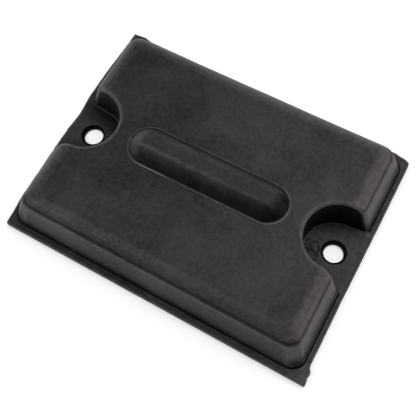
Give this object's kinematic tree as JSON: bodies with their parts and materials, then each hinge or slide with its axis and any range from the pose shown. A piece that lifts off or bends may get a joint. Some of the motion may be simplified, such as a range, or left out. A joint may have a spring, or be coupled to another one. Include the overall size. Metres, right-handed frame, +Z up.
{
  "type": "rubber bump pad",
  "caption": "Bolt-down moulded rubber bump pad: thin flange, rounded cushion with a bolt recess at each short end, and a low raised bar along the middle of the top.",
  "frame": {"origin": "centre of the underside, midway between the two bolt holes, on the face that sits on the mounting surface", "axes": "+X along the long side through the bolt holes, +Y across, +Z up through the raised bar"},
  "size_m": [0.172, 0.132, 0.03],
  "materials": {
    "rubber": "moulded black rubber, satin with faint bloom",
    "primed_steel": "phosphated steel with a thin bonding primer, satin"
  },
  "bodies": {
    "root": {"rubber_pad": "rubber", "backing_plate": "primed_steel"}
  },
  "joints": []
}
